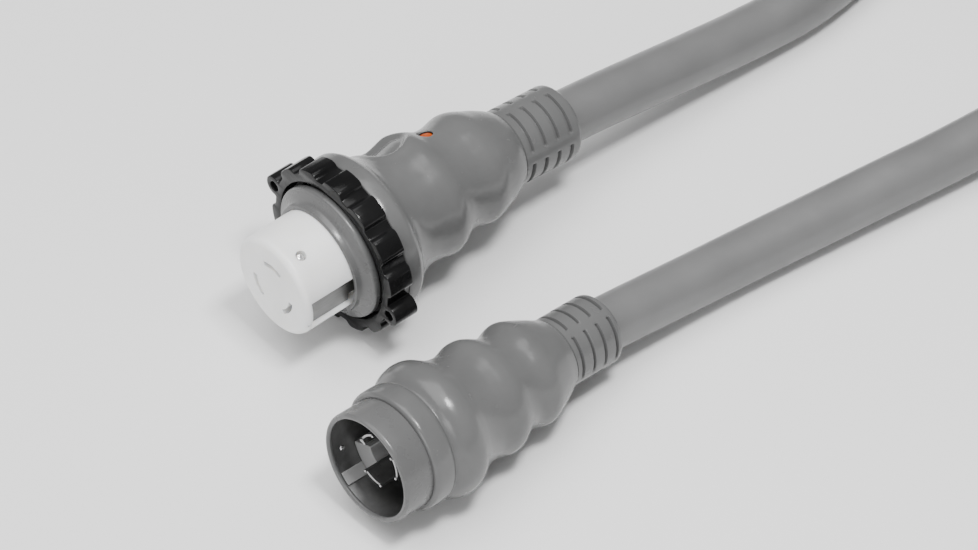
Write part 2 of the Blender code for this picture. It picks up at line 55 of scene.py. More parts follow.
# Places and sizes shared with the CAD source. A droop is where a bend starts and ends, and its last slope.
CONNECTOR_FRONT = (-70.9, 49.5, 46.5)
PLUG_FRONT = (-111.9, -64.1, 39.3)
PLUG_HEADING = 1.9
PLUG_TILT = 5.0
CONNECTOR_DROOP = (100.0, 124.0, 0.115)
PLUG_DROOP = (122.6, 150.0, 0.045)
STRAIGHT = (1000.0, 1001.0, 0.0)
CABLE_RADIUS = 14.0
CONNECTOR_RUN = (
    (112.4, 49.5, 38.0), (135.6, 49.2, 34.8), (167.6, 48.9, 29.3), (202.6, 48.1, 23.6), (237.6, 47.0, 18.9),
    (275.6, 46.1, 16.3), (309.4, 49.9, 15.8), (342.1, 58.1, 15.8), (373.2, 71.0, 15.8), (401.3, 88.8, 15.8),
    (425.8, 111.2, 15.8),
)
PLUG_RUN = (
    (44.6, -59.0, 24.6), (65.6, -59.5, 21.8), (97.6, -60.9, 18.0), (137.6, -64.6, 16.1),
    (177.6, -69.7, 15.8), (217.6, -74.9, 15.8), (253.6, -79.8, 15.9), (290.0, -84.9, 18.0),
    (326.0, -90.8, 22.6), (358.0, -98.2, 29.4), (383.5, -107.9, 36.2), (405.8, -121.3, 41.4),
    (425.8, -139.2, 44.0),
)
CONNECTOR_CABLE_START = 181.0
PLUG_CABLE_START = 154.0

# The coil: its turns lie a pitch apart, in columns that count outwards and layers that count upwards.
COIL_CENTRE = (551.0, -14.0)
COIL_TURNS = 7.75
COIL_START = 135.0
COIL_FIRST = 118.0
COIL_PITCH = 28.2
COIL_END_RADIUS = 177.06
COIL_LOW = 15.8
COIL_TOP = 83.0
# The column and layer that each turn lies in, from the connector's run to the plug's.
COIL_PLACES = ((2, 0), (1, 0), (0, 0), (0, 1), (0, 2), (1, 2), (1, 1), (2, 1), (2, 1))
TURN_STEPS = 48
# The share of a turn after which the cable crosses to the next turn's place, and the share that this takes.
CROSSING_START = 0.58
CROSSING_LENGTH = 0.34
# The turns settle in rounds, and the last few rounds only push apart the turns that lie too close.
SETTLE_ROUNDS = 300
LAST_ROUNDS = 10
CABLE_STIFFNESS = 0.5
CABLE_SINKING = 0.005
STRAP_ANGLES = (60.0, 180.0, 300.0)
STRAP_THICKNESS = 1.2
STRAP_WIDTH = 20.0
STRAP_GAP = 0.4
# The webbing's edges are this share as thick as its middle.
STRAP_EDGE = 0.75

# The connector. Its slots and pockets lie at the angles of its three live contacts, and a cut that runs
# out of the carrier ends beyond its front, end or side.
CONTACT_ANGLES = (-30.0, 90.0, 210.0)
CARRIER_RADIUS = 27.0
CARRIER_FRONT = -2.0
CARRIER_END = 46.0
CARRIER_EDGE = 3.2
BEYOND_FRONT = -4.0
BEYOND_END = 48.0
BEYOND_SIDE = 31.0
RECESS_FLOOR = 20.6
RECESS_HALF_WIDTH = 9.9
GROUND_ANGLE = -6.5
SIDE_SCREW_X = 7.4
SIDE_SCREW_ANGLE = 66.0
LAMP_X = 104.0
LAMP_ANGLE = 112.0
LAMP_LIFT = 27.2
CONNECTOR_GRIP = (
    (49.2, 41.0), (49.8, 41.7), (52.0, 42.1), (56.0, 42.2), (57.6, 41.7), (59.6, 40.2), (62.5, 37.4),
    (66.5, 34.8), (71.5, 32.7), (77.0, 31.5), (82.0, 31.5), (87.0, 32.4), (92.0, 33.2), (96.0, 32.2),
    (100.0, 30.1), (104.0, 28.4), (108.0, 27.8), (112.0, 28.0), (116.0, 28.9), (120.0, 29.6), (124.0, 29.0),
    (129.0, 27.2), (134.0, 25.4), (139.0, 23.2), (142.6, 21.2), (143.6, 20.4),
)
# Dimples for the fingers: x, angle, half of the length, half of the angle, depth.
CONNECTOR_DIMPLES = ((84.5, 127.0, 14.5, 25.0, 3.0),)

# The locking ring: fourteen places round its edge, of which two are lugs and the rest ridges.
RING_PLACES = 14
RING_SPAN = (34.8, 48.6)
RING_BORE = 38.0
RING_GROOVE = 42.5
RING_CREST = 45.5
LUG_ANGLE = -15.0
LUG_DISTANCE = 44.4
LUG_RADIUS = 5.9
LUG_HOLE = 2.8

# The plug. The sleeve, the shell and the blades' base all end at the same x.
SLEEVE_END = 34.0
SHELL_BORE = 27.2
MOUTH_FLOOR = 28.0
LAND_FRONT = 17.4
LAND_ANGLE = 221.5
LAND_SPAN = 37.0
KEY_ANGLE = 233.0
KEY_SPAN = 14.6
RIVET_X = 10.0
RIVET_ANGLE = 203.0
# Each blade's pole, angle and front edge.
BLADES = (("x", -98.0, 8.2), ("y", 22.0, 8.2), ("n", 138.0, 9.6))
BLADE_SPAN = 48.0
PLUG_GRIP = (
    (18.6, 29.6), (18.9, 30.6), (20.2, 31.6), (24.0, 31.9), (28.0, 31.8), (29.8, 31.5), (30.9, 30.9),
    (31.6, 30.4), (32.4, 30.5), (33.6, 31.5), (35.2, 33.0), (37.5, 34.4), (40.5, 35.3), (44.0, 35.6),
    (47.5, 34.9), (51.0, 32.9), (55.0, 30.6), (60.0, 29.0), (65.5, 28.4), (70.0, 29.2), (74.5, 30.4),
    (78.5, 30.3), (82.0, 28.9), (85.5, 27.0), (88.5, 25.9), (91.5, 25.4), (94.5, 25.8), (98.0, 27.0),
    (101.0, 27.7), (104.0, 27.4), (109.0, 25.4), (115.0, 22.7), (119.0, 20.6), (122.0, 19.2), (122.6, 18.6),
)

# A grip's waves are full on the side that faces this way, and calmer a quarter turn from it. They are
# measured from the mean radius near by, and the calming fades in behind the front and out near the end.
GRIP_FACING = 145.0
GRIP_CALMING = 0.5
GRIP_MEAN_WIDTH = 11.0
GRIP_FADE_IN = (22.0, 34.0)
GRIP_FADE_OUT = (12.0, 2.0)
GRIP_SIDES = 160
FINE_SIDES = 144
SMALL_SIDES = 40

# A strain relief has four rows of four slots.
RELIEF_ROWS = 4
RELIEF_SLOTS = 4
RELIEF_SLOT_DEPTH = 1.7

# The camera, its target in millimetres, and the lights: direction, distance, size and power.
CAMERA_AZIMUTH = -41.0
CAMERA_ELEVATION = 47.0
CAMERA_DISTANCE = 3.0
CAMERA_LENS = 228.6
CAMERA_TARGET = (9.2, -15.3, 49.9)
LIGHT_TARGET = (0.03, 0.0, 0.03)
LIGHTS = {
    "key": ((0.0, -0.3, 0.95), 1.8, (0.45, 0.3), 30.0),
    "overhead": ((-0.2, 0.1, 1.0), 2.4, (2.4, 2.4), 70.0),
    "front": ((-1.0, -0.4, 0.4), 2.2, (0.9, 0.9), 14.0),
}
WORLD_STRENGTH = 0.31

CONNECTOR_PLACE = Matrix.Translation(Vector(CONNECTOR_FRONT) * MM)
PLUG_PLACE = (
    Matrix.Translation(Vector(PLUG_FRONT) * MM)
    @ Matrix.Rotation(math.radians(PLUG_HEADING), 4, "Z")
    @ Matrix.Rotation(math.radians(PLUG_TILT), 4, "Y")
)


def around(angle, radius, x=0.0):
    """The point at an angle round the axis."""
    theta = math.radians(angle)
    return Vector((x, -radius * math.cos(theta), radius * math.sin(theta)))


def smoothstep(low, high, value):
    t = min(max((value - low) / (high - low), 0.0), 1.0)
    return t * t * (3 - 2 * t)


def angle_gap(a, b):
    """The smaller angle between two directions, in degrees."""
    return abs((a - b + 180.0) % 360.0 - 180.0)


def drooped(point, bend):
    """The point moved with its axis, which bends downwards."""
    start, stop, slope = bend
    run = max(point.x - start, 0.0)
    curved = min(run, stop - start)
    drop = slope * (curved * curved / (2 * (stop - start)) + run - curved)
    lean = math.atan(slope * curved / (stop - start))
    return Vector((point.x + point.z * math.sin(lean), point.y, point.z * math.cos(lean) - drop))


def catmull(points, pieces):
    """A smooth line through points in space, with this many pieces between two of them."""
    knots = [Vector(p) for p in points]
    knots = [2 * knots[0] - knots[1], *knots, 2 * knots[-1] - knots[-2]]
    line = []
    for a, b, c, d in zip(knots, knots[1:], knots[2:], knots[3:]):
        for step in range(pieces):
            t = step / pieces
            square = (2 * a - 5 * b + 4 * c - d) * t**2 / 2
            cube = (3 * b - 3 * c + d - a) * t**3 / 2
            line.append(b + (c - a) * t / 2 + square + cube)
    line.append(knots[-2])
    return line


# Node materials. A noise's scale is in waves per metre, and a bump's distance in metres.


class Nodes:
    """A short way to write a material's node tree."""

    def __init__(self, name):
        self.material = bpy.data.materials.new(name)
        self.material.use_nodes = True
        self.tree = self.material.node_tree
        self.shader = self.tree.nodes["Principled BSDF"]
        self.coordinates = self.tree.nodes.new("ShaderNodeTexCoord").outputs["Object"]

    def add(self, kind, inputs, **settings):
        node = self.tree.nodes.new(kind)
        for key, value in settings.items():
            setattr(node, key, value)
        for key, value in inputs.items():
            self.plug(value, node.inputs[key])
        return node

    def plug(self, value, socket):
        if isinstance(value, bpy.types.NodeSocket):
            self.tree.links.new(value, socket)
        else:
            socket.default_value = value

    def set(self, **inputs):
        for key, value in inputs.items():
            self.plug(value, self.shader.inputs[key.replace("_", " ")])

    def noise(self, scale, detail=3.0, roughness=0.5, vector=None):
        vector = vector or self.coordinates
        inputs = {"Vector": vector, "Scale": scale, "Detail": detail, "Roughness": roughness}
        return self.add("ShaderNodeTexNoise", inputs).outputs["Fac"]

    def stretched(self, *scale):
        inputs = {"Vector": self.coordinates, "Scale": scale}
        return self.add("ShaderNodeMapping", inputs).outputs["Vector"]

    def ramp(self, value, low, high, first, last):
        """Maps value, from low to high, to between two numbers."""
        inputs = {"Value": value, "From Min": low, "From Max": high, "To Min": first, "To Max": last}
        return self.add("ShaderNodeMapRange", inputs).outputs["Result"]

    def mix(self, factor, a, b):
        """Mixes two colours."""
        colours = [(*c, 1.0) if isinstance(c, tuple) else c for c in (a, b)]
        inputs = {0: factor, 6: colours[0], 7: colours[1]}
        return self.add("ShaderNodeMix", inputs, data_type="RGBA").outputs[2]

    def patchy(self, scale, detail, a, b):
        """Two colours that pass into each other in blotches."""
        return self.mix(self.ramp(self.noise(scale, detail), 0.3, 0.7, 0.0, 1.0), a, b)

    def bump(self, height, distance, strength=1.0, normal=None):
        inputs = {"Height": height, "Distance": distance, "Strength": strength}
        if normal:
            inputs["Normal"] = normal
        return self.add("ShaderNodeBump", inputs).outputs["Normal"]

    def pointiness(self):
        return self.add("ShaderNodeNewGeometry", {}).outputs["Pointiness"]


def tinted(colour, factor, lift=0.0):
    return tuple(min(c * factor + lift, 1.0) for c in colour)


def moulded(name, colour, roughness, grain=1.0, mottle=0.06, shine=0.5):
    """Moulded plastic: faint blotches and a fine grain, duller in places, with a painted highlight that
    lightens its sharp edges.
    """
    n = Nodes(name)
    base = n.patchy(38.0, 4.0, tinted(colour, 1 - mottle), tinted(colour, 1 + mottle, 0.004))
    # Painted highlight: sharp convex edges are painted lighter, where light catches them.
    edge_highlight = n.ramp(n.pointiness(), 0.55, 0.66, 0.0, 0.2)
    n.set(Base_Color=n.mix(edge_highlight, base, tinted(colour, 1.35, 0.01)))
    n.set(Roughness=n.ramp(n.noise(120.0, 5.0), 0.25, 0.75, roughness - 0.05, roughness + 0.07))
    coarse = n.bump(n.noise(260.0, 2.0), 0.00006 * grain)
    n.set(Normal=n.bump(n.noise(2600.0, 2.0), 0.000012 * grain, normal=coarse))
    n.set(Specular_IOR_Level=shine)
    return n.material


def metal(name, colour, roughness, brushed, tarnish=0.25):
    """Sheet metal with fine scratches along one way, and patches of tarnish."""
    n = Nodes(name)
    patches = n.ramp(n.noise(90.0, 6.0, 0.6), 0.42, 0.7, 0.0, tarnish)
    n.set(Base_Color=n.mix(patches, colour, tinted(colour, 0.55)), Metallic=1.0)
    lines = n.noise(1400.0, 3.0, 0.6, n.stretched(*brushed))
    n.set(Roughness=n.ramp(lines, 0.3, 0.7, roughness - 0.07, roughness + 0.1))
    n.set(Normal=n.bump(lines, 0.000012, 0.6))
    return n.material


def nylon(name):
    """Off-white nylon that light enters a little way."""
    n = Nodes(name)
    n.set(Base_Color=n.patchy(55.0, 3.0, (0.82, 0.82, 0.81), (0.89, 0.89, 0.885)))
    n.set(Roughness=n.ramp(n.noise(150.0, 4.0), 0.3, 0.7, 0.3, 0.42))
    n.set(Subsurface_Weight=0.5, Subsurface_Scale=0.006, Subsurface_Radius=(1.0, 0.95, 0.85))
    coarse = n.bump(n.noise(180.0, 2.0), 0.00005)
    n.set(Normal=n.bump(n.noise(2200.0, 2.0), 0.00001, normal=coarse), Specular_IOR_Level=0.5)
    return n.material


def jacket(name):
    """The cable's jacket: soft plastic with long shallow waves where the conductors twist under it."""
    n = Nodes(name)
    n.set(Base_Color=n.patchy(30.0, 4.0, (0.124, 0.1245, 0.1245), (0.146, 0.1465, 0.1465)))
    n.set(Roughness=n.ramp(n.noise(140.0, 5.0), 0.3, 0.7, 0.28, 0.4))
    waves = n.bump(n.noise(22.0, 1.0), 0.0011)
    n.set(Normal=n.bump(n.noise(2400.0, 2.0), 0.000014, normal=waves))
    return n.material


def fabric(name, colour):
    """Webbing: two sets of ribs that cross."""
    n = Nodes(name)
    waves = []
    for direction in ("X", "Z"):
        inputs = {"Vector": n.coordinates, "Scale": 420.0, "Distortion": 0.6}
        waves.append(n.add("ShaderNodeTexWave", inputs, bands_direction=direction).outputs["Fac"])
    weave = n.add("ShaderNodeMath", {0: waves[0], 1: waves[1]}, operation="MULTIPLY").outputs[0]
    n.set(Base_Color=n.mix(weave, tinted(colour, 0.45), tinted(colour, 1.5)), Roughness=0.9)
    n.set(Normal=n.bump(weave, 0.0003), Sheen_Weight=0.3)
    return n.material


def glazed(name, colour):
    """A tinted lens that glows a little."""
    n = Nodes(name)
    n.set(Base_Color=n.patchy(300.0, 3.0, tinted(colour, 0.8), colour))
    n.set(Roughness=0.3, Specular_IOR_Level=0.3, Emission_Color=(*colour, 1.0), Emission_Strength=0.25)
    n.set(Normal=n.bump(n.noise(900.0), 0.00002))
    return n.material


MATERIALS = {
    "grey_moulding": moulded("grey_moulding_fine", (0.105, 0.1055, 0.1055), 0.22, shine=0.38),
    "grey_hard": moulded("grey_hard_fine", (0.1, 0.1005, 0.1005), 0.28, shine=0.42),
    # A lighter copy of the hard grey: painted light for the land and key strip inside the mouth.
    "grey_hard_painted_light": moulded("grey_hard_painted_light_fine", (0.29, 0.2905, 0.2905), 0.4, shine=0.42),
    "black_ring": moulded(
        "black_ring_fine", (0.005, 0.005, 0.0052), 0.15, grain=1.2, mottle=0.25, shine=0.18
    ),
    "gasket": moulded("gasket_fine", (0.02, 0.02, 0.02), 0.75),
    "white_carrier": nylon("white_carrier_fine"),
    "dark_base": moulded("dark_base_fine", (0.012, 0.012, 0.0125), 0.45, mottle=0.2),
    "amber_lens": glazed("amber_lens_fine", (0.38, 0.055, 0.0)),
    "contact_brass": metal("contact_brass_fine", (0.72, 0.62, 0.44), 0.26, (0.06, 1.0, 1.0)),
    "plated_steel": metal("plated_steel_fine", (0.78, 0.78, 0.79), 0.24, (0.05, 1.0, 1.0)),
    # A dimmer copy of the plated steel: painted shade for the metal shell deep in the plug's mouth. Its
    # tarnish patches are random.
    "shell_steel_shaded": metal("shell_steel_shaded_fine", (0.29, 0.29, 0.29), 0.42, (1.0, 0.06, 0.06), 0.6),
    "ground_steel": metal("ground_steel_fine", (0.27, 0.27, 0.268), 0.45, (0.05, 1.0, 1.0), 0.3),
    # Near-black: painted shade on the wall of the lamp's hole.
    "painted_shade_collar": moulded("painted_shade_collar_fine", (0.01, 0.01, 0.01), 0.4, shine=0.3),
    "blade_steel": metal("blade_steel_fine", (0.4, 0.4, 0.4), 0.34, (0.4, 1.0, 1.0), 0.2),
    "cable_jacket": jacket("cable_jacket_fine"),
    "strap": fabric("strap_fine", (0.03, 0.03, 0.034)),
    "wire_x": moulded("wire_black_fine", (0.02, 0.02, 0.02), 0.45),
    "wire_y": moulded("wire_red_fine", (0.42, 0.02, 0.02), 0.45),
    "wire_n": moulded("wire_white_fine", (0.75, 0.75, 0.74), 0.45),
    "wire_ground": moulded("wire_green_fine", (0.02, 0.22, 0.06), 0.45),
}


# Mesh pieces


def add_object(name, data):
    obj = bpy.data.objects.new(name, data)
    bpy.context.scene.collection.objects.link(obj)
    return obj


def shade(mesh, sharp_angle):
    mesh.shade_smooth()
    mesh.set_sharp_from_angle(angle=math.radians(sharp_angle))


def finish_solid(name, bm, place, bend=STRAIGHT):
    """Makes an object of bm, set from its own millimetres to its place in metres."""
    bmesh.ops.recalc_face_normals(bm, faces=bm.faces)
    mesh = bpy.data.meshes.new(name)
    bm.to_mesh(mesh)
    bm.free()
    for vertex in mesh.vertices:
        vertex.co = place @ (drooped(vertex.co, bend) * MM)
    shade(mesh, 38.0)
    return add_object(name, mesh)


def revolve(name, outline, place, bend=STRAIGHT, sides=128, shape=None, closed=True):
    """A surface turned about X from its outline. Shape may change a point's radius by its angle."""
    vertices, faces = [], []
    angles = [360.0 * i / sides for i in range(sides)]
    for x, radius in outline:
        for angle in angles:
            vertices.append(around(angle, shape(x, angle, radius) if shape else radius, x))
    rows = len(outline)
    for row in range(rows if closed else rows - 1):
        a, b = row * sides, (row + 1) % rows * sides
        for i in range(sides):
            j = (i + 1) % sides
            faces.append((a + i, a + j, b + j, b + i))
    if not closed:
        faces.append(tuple(range(sides)))
        faces.append(tuple(range((rows - 1) * sides, rows * sides)))
    skin = bpy.data.meshes.new(name)
    skin.from_pydata(vertices, [], faces)
    bm = bmesh.new()
    bm.from_mesh(skin)
    bpy.data.meshes.remove(skin)
    return finish_solid(name, bm, place, bend)


def arc_solid(name, x_span, radii, middle, span, place, steps=16):
    """A block that runs part of the way round the axis."""
    bm = bmesh.new()
    corners = ((x_span[0], radii[0]), (x_span[1], radii[0]), (x_span[1], radii[1]), (x_span[0], radii[1]))
    rings = []
    for i in range(steps + 1):
        angle = middle - span / 2 + span * i / steps
        rings.append([bm.verts.new(around(angle, r, x)) for x, r in corners])
    for near, far in zip(rings, rings[1:]):
        for k in range(4):
            bm.faces.new((near[k], near[(k + 1) % 4], far[(k + 1) % 4], far[k]))
    bm.faces.new(rings[0])
    bm.faces.new(rings[-1])
    return finish_solid(name, bm, place)


def rod(name, radius, start, end, place, sides):
    bm = bmesh.new()
    axis = end - start
    turn = Matrix.Translation((start + end) / 2) @ axis.to_track_quat("Z", "Y").to_matrix().to_4x4()
    size = {"radius1": radius, "radius2": radius, "depth": axis.length}
    bmesh.ops.create_cone(bm, cap_ends=True, segments=sides, matrix=turn, **size)
    return finish_solid(name, bm, place)


def radial_rod(name, radius, x, angle, inner, outer, place, sides=SMALL_SIDES):
    return rod(name, radius, around(angle, inner, x), around(angle, outer, x), place, sides)


def box_solid(name, x_span, radial_span, half_width, angle, place):
    """A block with two faces square to the direction at an angle."""
    bm = bmesh.new()
    size = (x_span[1] - x_span[0], radial_span[1] - radial_span[0], 2 * half_width, 1.0)
    middle = Matrix.Translation(around(angle, sum(radial_span) / 2, sum(x_span) / 2))
    turn = Matrix.Rotation(-math.radians(angle), 4, "X")
    bmesh.ops.create_cube(bm, size=1.0, matrix=middle @ turn @ Matrix.Diagonal(size))
    return finish_solid(name, bm, place)


def facing(place, angle, radius, x, way=1.0):
    """The place of a small turned piece that faces out from the axis, or in towards it for a way of -1."""
    aim = around(angle, way).to_track_quat("X", "Z").to_matrix().to_4x4()
    return place @ Matrix.Translation(around(angle, radius, x) * MM) @ aim


def evaluated(obj):
    bpy.context.view_layer.update()
    return bpy.data.meshes.new_from_object(obj.evaluated_get(bpy.context.evaluated_depsgraph_get()))


def apply_modifiers(obj):
    mesh = evaluated(obj)
    obj.modifiers.clear()
    obj.data = mesh
    return obj


def combine(obj, *tools, operation="DIFFERENCE"):
    """Cuts the tools from obj, or joins them to it, and removes them."""
    for tool in tools:
        modifier = obj.modifiers.new("combine", "BOOLEAN")
        modifier.operation = operation
        modifier.object = tool
        modifier.solver = "EXACT"
        apply_modifiers(obj)
        bpy.data.objects.remove(tool)
    return obj


def soften(obj, width, segments=2):
    """Rounds the sharp edges."""
    weld = obj.modifiers.new("weld", "WELD")
    weld.merge_threshold = 0.00001
    bevel = obj.modifiers.new("edges", "BEVEL")
    bevel.width = width * MM
    bevel.segments = segments
    bevel.limit_method = "ANGLE"
    bevel.angle_limit = math.radians(35.0)
    bevel.use_clamp_overlap = True
    bevel.harden_normals = True
    return apply_modifiers(obj)


def piece(obj, slot, *nodes, body="cord_set", material=None):
    """Dresses a piece and sets it on its body, in place of the CAD nodes it stands for."""
    obj.data.materials.clear()
    obj.data.materials.append(MATERIALS[material or slot])
    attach(obj, body)
    if nodes:
        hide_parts(*nodes)
    return obj


# Connector


def build_carrier():
    place = CONNECTOR_PLACE
    outline = [(CARRIER_END, 0.5), (CARRIER_END, CARRIER_RADIUS - 0.4), (CARRIER_END - 0.4, CARRIER_RADIUS)]
    outline += [(x, CARRIER_RADIUS) for x in (30.0, 15.0, 6.0, 1.6)]
    for degrees in np.linspace(0.0, 90.0, 9):
        theta = math.radians(degrees)
        x = CARRIER_FRONT + CARRIER_EDGE - CARRIER_EDGE * math.sin(theta)
        outline.append((x, CARRIER_RADIUS - CARRIER_EDGE + CARRIER_EDGE * math.cos(theta)))
    outline += [(CARRIER_FRONT, 20.0), (CARRIER_FRONT, 0.5)]
    carrier = revolve("carrier", outline, place, closed=False, sides=FINE_SIDES)
    recess_depth = (RECESS_FLOOR, BEYOND_SIDE)
    cuts = [
        box_solid("recess", (1.0, BEYOND_END), recess_depth, RECESS_HALF_WIDTH, GROUND_ANGLE, place),
        box_solid("groove", (BEYOND_FRONT, 30.0), (25.4, BEYOND_SIDE), 2.6, -92.0, place),
        radial_rod("screw_hole", 2.7, SIDE_SCREW_X, SIDE_SCREW_ANGLE, 17.0, BEYOND_SIDE, place),
        radial_rod("lip_dot", 0.7, -0.2, -18.0, 24.0, BEYOND_SIDE, place, sides=16),
    ]
    # Each contact has a narrow slot in front and a wider pocket behind it.
    for angle in CONTACT_ANGLES:
        cuts.append(arc_solid("slot", (BEYOND_FRONT, 22.0), (12.1, 14.7), angle, 53.0, place, steps=12))
    for angle in CONTACT_ANGLES:
        cuts.append(arc_solid("pocket", (20.0, BEYOND_END), (10.2, 16.6), angle, 44.0, place, steps=8))
    combine(carrier, *cuts)
    soften(carrier, 0.35)
    piece(carrier, "white_carrier", "contact_carrier")


def build_side_screw():
    """The screw in the carrier's side: a domed head with a slot."""
    dome = [(0.0, 0.05), (0.0, 1.2), (-0.3, 1.9), (-0.9, 2.3), (-1.4, 2.4), (-8.0, 2.4), (-8.0, 0.05)]
    head = revolve("side_screw_head", dome, Matrix.Identity(4), closed=False, sides=SMALL_SIDES)
    head.matrix_world = facing(CONNECTOR_PLACE, SIDE_SCREW_ANGLE, 25.6, SIDE_SCREW_X)
    slot = box_solid("driver_slot", (-0.7, 1.0), (-3.0, 3.0), 0.4, 30.0, Matrix.Identity(4))
    slot.matrix_world = head.matrix_world
    piece(combine(head, slot), "plated_steel", "side_screw")


def build_ground_strip():
    """The ground contact in the carrier's flat recess, notched at its rear, where its tail goes in."""
    sheet = (20.9, 22.5)
    strip = box_solid("ground_contact", (1.8, 27.4), sheet, 9.5, GROUND_ANGLE, CONNECTOR_PLACE)
    notch = box_solid("notch", (21.8, 26.2), (19.0, 24.0), 2.8, 11.5, CONNECTOR_PLACE)
    tail = box_solid("tail", (25.0, 52.0), sheet, 4.5, GROUND_ANGLE, CONNECTOR_PLACE)
    combine(strip, notch)
    combine(strip, tail, operation="UNION")
    piece(soften(strip, 0.25), "plated_steel", "ground_strip", material="ground_steel")


def build_flange():
    outline = [
        (26.6, 27.3), (26.6, 28.8), (26.9, 29.2), (29.3, 29.4), (29.9, 29.8), (30.6, 30.8), (31.2, 32.0),
        (31.7, 33.3), (32.0, 34.2), (32.2, 34.5), (32.2, 35.0), (32.6, 35.6), (33.2, 35.95), (33.8, 36.0),
        (35.6, 36.0), (36.0, 35.6), (36.0, 27.3),
    ]
    piece(revolve("flange", outline, CONNECTOR_PLACE, sides=FINE_SIDES), "grey_hard", "front_flange")


def flat_point(theta, radius):
    """A point in the ring's own flat drawing, which is later stood up across X."""
    return Vector((math.cos(theta), math.sin(theta), 0.0)) * radius


def ring_outline():
    """The ring's edge from the front, with rounded ridges and two lugs."""
    ridge = [
        (-9.6, RING_GROOVE), (-7.9, RING_CREST - 0.9), (-5.6, RING_CREST), (0.0, RING_CREST + 0.1),
        (5.6, RING_CREST), (7.9, RING_CREST - 0.9), (9.6, RING_GROOVE),
    ]
    points = []
    for place in range(RING_PLACES):
        middle = LUG_ANGLE + 360.0 / RING_PLACES * place
        if place % (RING_PLACES // 2):
            points += [flat_point(math.radians(middle + offset), radius) for offset, radius in ridge]
        else:
            outwards = math.radians(middle)
            centre = flat_point(outwards, LUG_DISTANCE)
            for turn in range(-114, 115, 19):
                points.append(centre + flat_point(outwards + math.radians(turn), LUG_RADIUS))
    return points


def rounded_corners(points, amount, steps=3):
    """Cuts each corner of a closed line with a small curve."""
    result = []
    for i, point in enumerate(points):
        before, after = points[i - 1] - point, points[(i + 1) % len(points)] - point
        a = point + before.normalized() * min(amount, before.length * 0.45)
        b = point + after.normalized() * min(amount, after.length * 0.45)
        for step in range(steps + 1):
            t = step / steps
            result.append(a * (1 - t) ** 2 + point * 2 * t * (1 - t) + b * t * t)
    return result


def circle(radius, sides, centre):
    return [centre + flat_point(2 * math.pi * i / sides, radius) for i in range(sides)]


def flat_solid(name, outlines, x_span, edge, place):
    """A flat outline with holes across X, made thick, with rounded edges."""
    curve = bpy.data.curves.new(name, "CURVE")
    curve.dimensions = "2D"
    curve.fill_mode = "BOTH"
    curve.extrude = ((x_span[1] - x_span[0]) / 2 - edge) * MM
    curve.bevel_depth = edge * MM
    curve.bevel_resolution = 2
    curve.offset = -edge * MM
    for outline in outlines:
        spline = curve.splines.new("POLY")
        spline.points.add(len(outline) - 1)
        for point, corner in zip(spline.points, outline):
            point.co = (corner.x * MM, corner.y * MM, 0.0, 1.0)
        spline.use_cyclic_u = True
    helper = add_object(name + "_curve", curve)
    mesh = evaluated(helper)
    bpy.data.objects.remove(helper)
    stand = Matrix(((0, 0, -1, sum(x_span) / 2 * MM), (-1, 0, 0, 0), (0, 1, 0, 0), (0, 0, 0, 1)))
    bm = bmesh.new()
    bm.from_mesh(mesh)
    bmesh.ops.remove_doubles(bm, verts=bm.verts, dist=0.000005)
    bmesh.ops.transform(bm, matrix=place @ stand, verts=bm.verts)
    bmesh.ops.recalc_face_normals(bm, faces=bm.faces)
    bm.to_mesh(mesh)
    bm.free()
    shade(mesh, 30.0)
    return add_object(name, mesh)


def build_ring():
    outlines = [rounded_corners(ring_outline(), 0.9), circle(RING_BORE, 128, flat_point(0.0, 0.0))]
    for turn in (0.0, 180.0):
        outlines.append(circle(LUG_HOLE, 28, flat_point(math.radians(LUG_ANGLE + turn), LUG_DISTANCE)))
    ring = flat_solid("ring", outlines, RING_SPAN, 0.45, CONNECTOR_PLACE)
    lip = [(44.8, 34.7), (44.8, 39.0), (48.2, 39.0), (48.2, 34.7), (47.9, 34.4), (45.1, 34.4)]
    combine(ring, revolve("ring_lip", lip, CONNECTOR_PLACE), operation="UNION")
    piece(ring, "black_ring", "locking_ring", body="ring")
    seal = [
        (41.5, 34.9), (41.7, 34.6), (44.3, 34.6), (44.5, 34.9), (44.5, 37.1), (44.2, 37.4), (41.8, 37.4),
        (41.5, 37.1),
    ]
    piece(revolve("seal_ring", seal, CONNECTOR_PLACE), "gasket", "ring_gasket", body="seal")


def grip(name, outline, rest, place, bend, dimples=()):
    """A moulded grip: the smooth line through its outline, with the rest before and after it, turned."""
    table = [(p.x, p.y) for p in catmull([(x, radius, 0.0) for x, radius in outline], 5)]
    first, last = outline[0][0], outline[-1][0]

    def mean(x):
        near = [(math.exp(-(((x - a) / GRIP_MEAN_WIDTH) ** 2)), r) for a, r in table]
        return sum(w * r for w, r in near) / sum(w for w, _ in near)

    def calm(x):
        started = smoothstep(first + GRIP_FADE_IN[0], first + GRIP_FADE_IN[1], x)
        return started * (1 - smoothstep(last - GRIP_FADE_OUT[0], last - GRIP_FADE_OUT[1], x))

    means = {x: mean(x) for x, _ in table}
    calms = {x: calm(x) for x, _ in table}
    outside = set(table)

    def shape(x, angle, radius):
        if (x, radius) not in outside:
            return radius
        side = abs(math.cos(math.radians(angle - GRIP_FACING))) ** 1.4
        kept = 1.0 - GRIP_CALMING * (1 - side) * calms[x]
        result = means[x] + (radius - means[x]) * kept if calms[x] > 0 else radius
        for middle_x, middle_angle, half_x, half_angle, depth in dimples:
            u = (x - middle_x) / half_x
            v = angle_gap(angle, middle_angle) / half_angle
            away = math.sqrt(u * u + v * v)
            # A hollow with a low rim round it.
            result -= depth * (1 - smoothstep(0.6, 0.95, away))
            result += 0.18 * depth * smoothstep(0.75, 1.0, away) * (1 - smoothstep(1.0, 1.35, away))
        return result

    before, after = rest
    return revolve(name, [*before, *table, *after], place, bend, GRIP_SIDES, shape)


